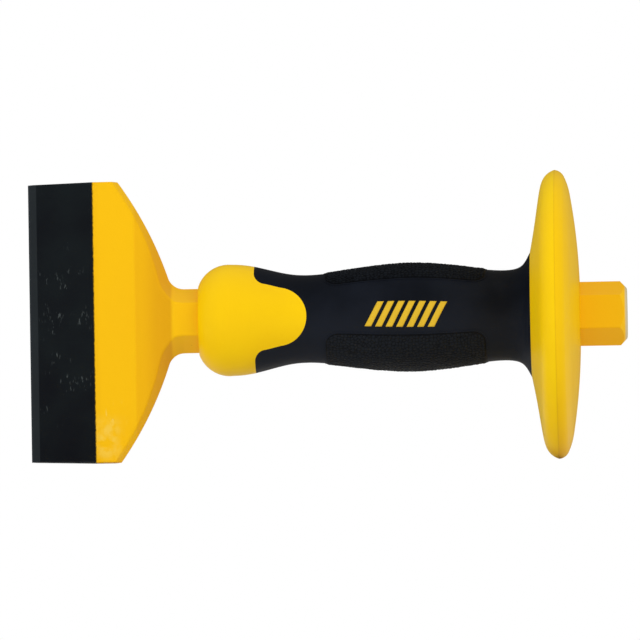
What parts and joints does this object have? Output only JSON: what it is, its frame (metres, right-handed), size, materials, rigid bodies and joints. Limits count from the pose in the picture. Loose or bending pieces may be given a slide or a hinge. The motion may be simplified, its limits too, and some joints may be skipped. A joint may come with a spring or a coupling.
{
  "type": "hand guard bolster chisel",
  "caption": "Wide steel bolster chisel on a hexagon bar, with a bulb-nosed two-colour handle, textured rubber grip and a domed round hand guard behind the hand.",
  "frame": {"origin": "middle of the cutting edge", "axes": "+X along the tool from the cutting edge to the struck end, +Z across the blade's width, +Y through the blade's thickness"},
  "size_m": [0.2164, 0.1046, 0.1046],
  "materials": {
    "forging_steel": "satin yellow paint on the wings, neck and struck bar; blackened bare steel on the blade in front of the paint line",
    "yellow_plastic": "hard polypropylene, satin",
    "black_rubber": "soft moulded rubber, satin, with pebbled gripping panels",
    "yellow_guard": "hard moulded plastic, satin"
  },
  "bodies": {
    "root": {"chisel_forging": "forging_steel", "core_sleeve": "yellow_plastic", "grip_overmould": "black_rubber", "guard_front_shell": "yellow_guard", "guard_rear_shell": "yellow_guard"}
  },
  "joints": []
}
